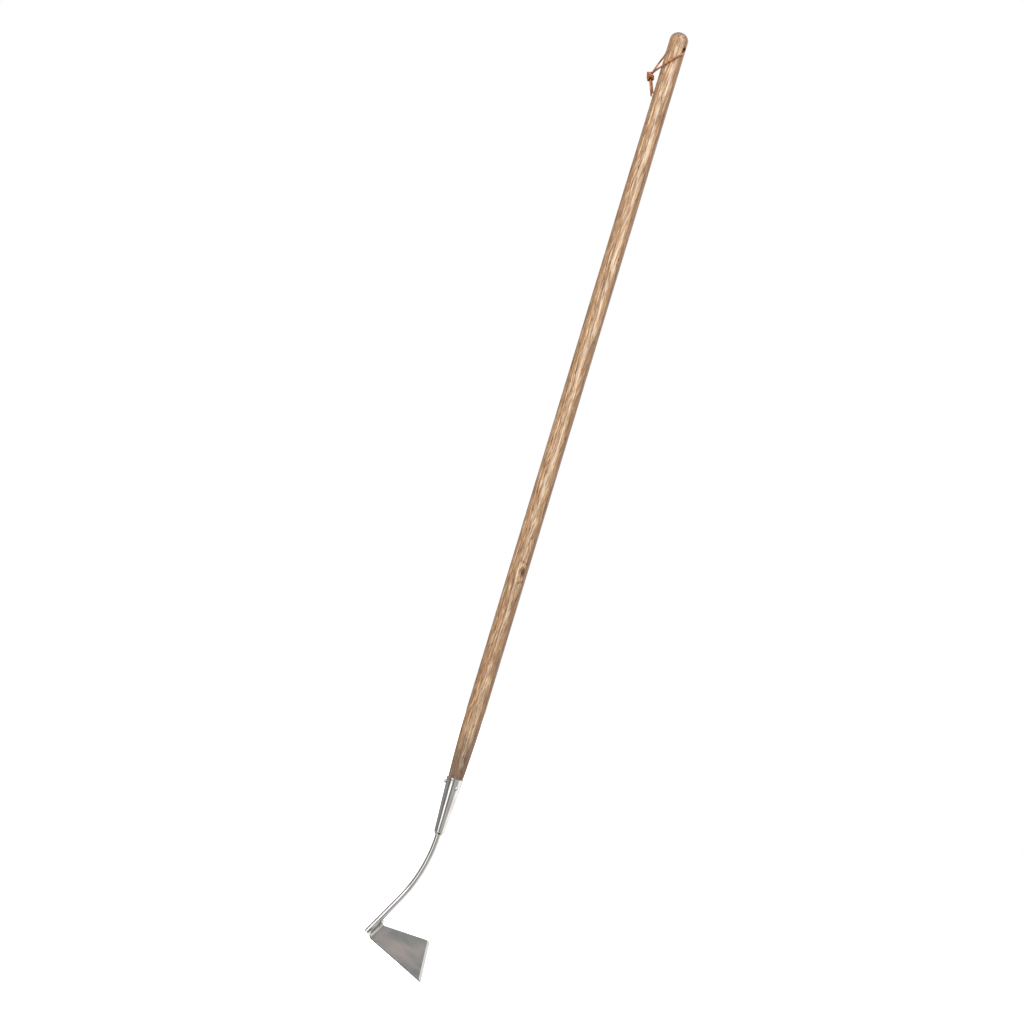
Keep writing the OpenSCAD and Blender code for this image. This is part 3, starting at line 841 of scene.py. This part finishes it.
def weld_beads():
    """A bead on each side: rows from the bar to the tab, swollen in ripples and thinned at both ends."""
    vertices, faces = [], []
    steps, across, fade_steps = 90, 9, 6
    low, high = tab_low + 0.5 * mm, tab_top - 2 * mm
    on_bar, toe_y, ripple_gap, drag_h = math.radians(48), 6.8 * mm, 1.5 * mm, 0.8 * mm
    for side in (-1, 1):
        toe = Vector((flat_x, side * toe_y))
        start = Vector((bar_r * math.cos(on_bar), side * bar_r * math.sin(on_bar)))
        corner = Vector((flat_x, side * 1.2 * mm))
        out = Vector((-(toe - start).y * side, (toe - start).x * side)).normalized()
        if out.x > 0:
            out = -out
        rows = []
        for i in range(steps + 1):
            z = low + (high - low) * i / steps
            full = math.sqrt(min(1.0, min(i, steps - i) / fade_steps))
            wave = 0.5 + 0.5 * math.cos(math.tau * z / ripple_gap)
            row = []
            for k in range(across + 1):
                t = k / across
                belly = math.sin(math.pi * t) * (0.6 + 0.13 * wave) * mm * full
                point = corner.lerp(start.lerp(toe, t) + out * belly, 0.35 + 0.65 * full)
                row.append(len(vertices))
                drag = drag_h * math.sin(math.pi * t)
                vertices.append(at_tab @ Vector((point.x, point.y, z - drag)))
            row.append(len(vertices))
            vertices.append(at_tab @ Vector((flat_x + 0.3 * mm, side * 1.0 * mm, z)))
            rows.append(row)
        n = across + 2
        for a, b in zip(rows, rows[1:]):
            faces += [(a[k], a[(k + 1) % n], b[(k + 1) % n], b[k]) for k in range(n)]
        faces += [tuple(rows[0]), tuple(reversed(rows[-1]))]
    piece = put("blade_weld_beads", vertices, faces, weld_metal, 60)
    face_outward(piece)
    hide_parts("blade_weld")


weld_beads()


# ---- Studio ----
# A pale floor under the blade, and a white room whose soft boxes and dark flags the steel reflects.
half, floor_z = 6.0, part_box("blade")[0].z - 1 * mm
floor_mesh = bpy.data.meshes.new("floor")
floor_mesh.from_pydata([(-half, -half, floor_z), (half, -half, floor_z), (half, half, floor_z),
                        (-half, half, floor_z)], [], [(0, 1, 2, 3)])
floor = bpy.data.objects.new("floor", floor_mesh)
bpy.context.scene.collection.objects.link(floor)
paper, tree = new_material("matt white paper")
shader = add(tree, "BsdfPrincipled", {"Base Color": linear("#F4F4F2"), "Roughness": 0.9,
                                      "Emission Color": grey(1.0), "Emission Strength": 0.6})
add(tree, "OutputMaterial", {"Surface": shader})
floor_mesh.materials.append(paper)
floor.visible_glossy = False
floor.visible_diffuse = False

world = bpy.data.worlds.new("studio")
bpy.context.scene.world = world
world.use_nodes = True
tree = world.node_tree
tree.nodes.clear()
way = add(tree, "TexCoord").outputs["Generated"]
part = add(tree, "SeparateXYZ", {"Vector": way}).outputs

# what the steel reflects at eye level, by the angle round the room to the right of straight ahead
back = add(tree, "Math", {0: part["Y"], 1: -1.0}, operation="MULTIPLY")
azimuth = add(tree, "Math", {0: part["X"], 1: back}, operation="ARCTAN2")
round_room = add(tree, "MapRange", {"Value": azimuth, "From Min": -math.pi, "From Max": math.pi})
flags = [(-180, grey(0.18)), (-150, grey(0.2)), (-140, grey(0.16)), (-95, grey(0.22)), (-66, grey(0.1)),
         (-50, grey(0.16)), (-43, grey(1.0)), (-24, grey(1.0)), (-19, grey(0.12)), (-4, grey(0.12)),
         (6, (0.3, 0.28, 0.275, 1.0)), (34, (0.34, 0.315, 0.31, 1.0)), (44, grey(0.24)), (58, grey(0.34)),
         (68, grey(0.7)), (112, grey(0.74)), (118, grey(0.6)), (131, grey(0.6)), (137, grey(0.7)),
         (165, grey(0.7)), (180, grey(0.45))]
room = add(tree, "ValToRGB", {"Fac": round_room}, stops=[(0.5 + a / 360, light) for a, light in flags])

# a grey ceiling, a dark corner low on the left and a white card behind on the right
above = add(tree, "MapRange", {"Value": part["Z"], "From Min": 0.45, "From Max": 0.75})
room = add(tree, "MixRGB", {"Fac": above, "Color1": room, "Color2": (0.37, 0.362, 0.36, 1.0)})
below = add(tree, "MapRange", {"Value": part["Z"], "From Min": -0.2, "From Max": -0.36})
leftward = add(tree, "MapRange", {"Value": part["X"], "From Min": -0.05, "From Max": -0.4})
corner = add(tree, "Math", {0: below, 1: leftward}, operation="MULTIPLY")
room = add(tree, "MixRGB", {"Fac": corner, "Color1": room, "Color2": grey(0.12)})
card = None
for axis, low, high in (("Z", 0.02, 0.1), ("Z", 0.62, 0.5), ("Y", 0.35, 0.5), ("X", 0.2, 0.35)):
    within = add(tree, "MapRange", {"Value": part[axis], "From Min": low, "From Max": high})
    card = add(tree, "Math", {0: card, 1: within}, operation="MULTIPLY") if card else within
room = add(tree, "MixRGB", {"Fac": card, "Color1": room, "Color2": grey(1.0)})
mirrored = add(tree, "Background", {"Color": room, "Strength": 1.9})

# matt surfaces are lit from in front and behind, and more from above; the room itself is seen as white
facing = add(tree, "VectorMath", {0: way, 1: (-0.26, -0.96, 0)}, operation="DOT_PRODUCT").outputs["Value"]
facing = add(tree, "Math", {0: facing, 1: facing}, operation="MULTIPLY")
front = add(tree, "MapRange", {"Value": facing, "To Min": 0.55, "To Max": 2.1})
high = add(tree, "MapRange", {"Value": part["Z"], "From Min": -0.7, "From Max": 0.7, "To Min": 0.12,
                              "To Max": 1.4})
sky = add(tree, "Math", {0: front, 1: high}, operation="MULTIPLY")
wash = add(tree, "Background", {"Color": grey(1.0), "Strength": sky})
seen = add(tree, "Background", {"Color": grey(1.0), "Strength": 1.0})
path = add(tree, "LightPath").outputs
on_matt = add(tree, "MixShader", {0: path["Is Diffuse Ray"], 1: mirrored, 2: wash})
mixed = add(tree, "MixShader", {0: path["Is Camera Ray"], 1: on_matt, 2: seen})
add(tree, "OutputWorld", {"Surface": mixed})

lit_at = Vector((0, 0, -0.4))
for name, place, size, power in (("key softbox", (0.9, -2.4, 2.3), 1.2, 65.0),
                                 ("fill softbox", (-2.2, -2.0, 0.4), 1.6, 22.0)):
    lamp = bpy.data.objects.new(name, bpy.data.lights.new(name, "AREA"))
    bpy.context.scene.collection.objects.link(lamp)
    lamp.data.shape = "SQUARE"
    lamp.data.size = size
    lamp.data.energy = power
    lamp.location = place
    lamp.rotation_euler = (lit_at - lamp.location).to_track_quat("-Z", "Y").to_euler()

view = bpy.context.scene.view_settings
view.view_transform = "Standard"
view.look = "None"
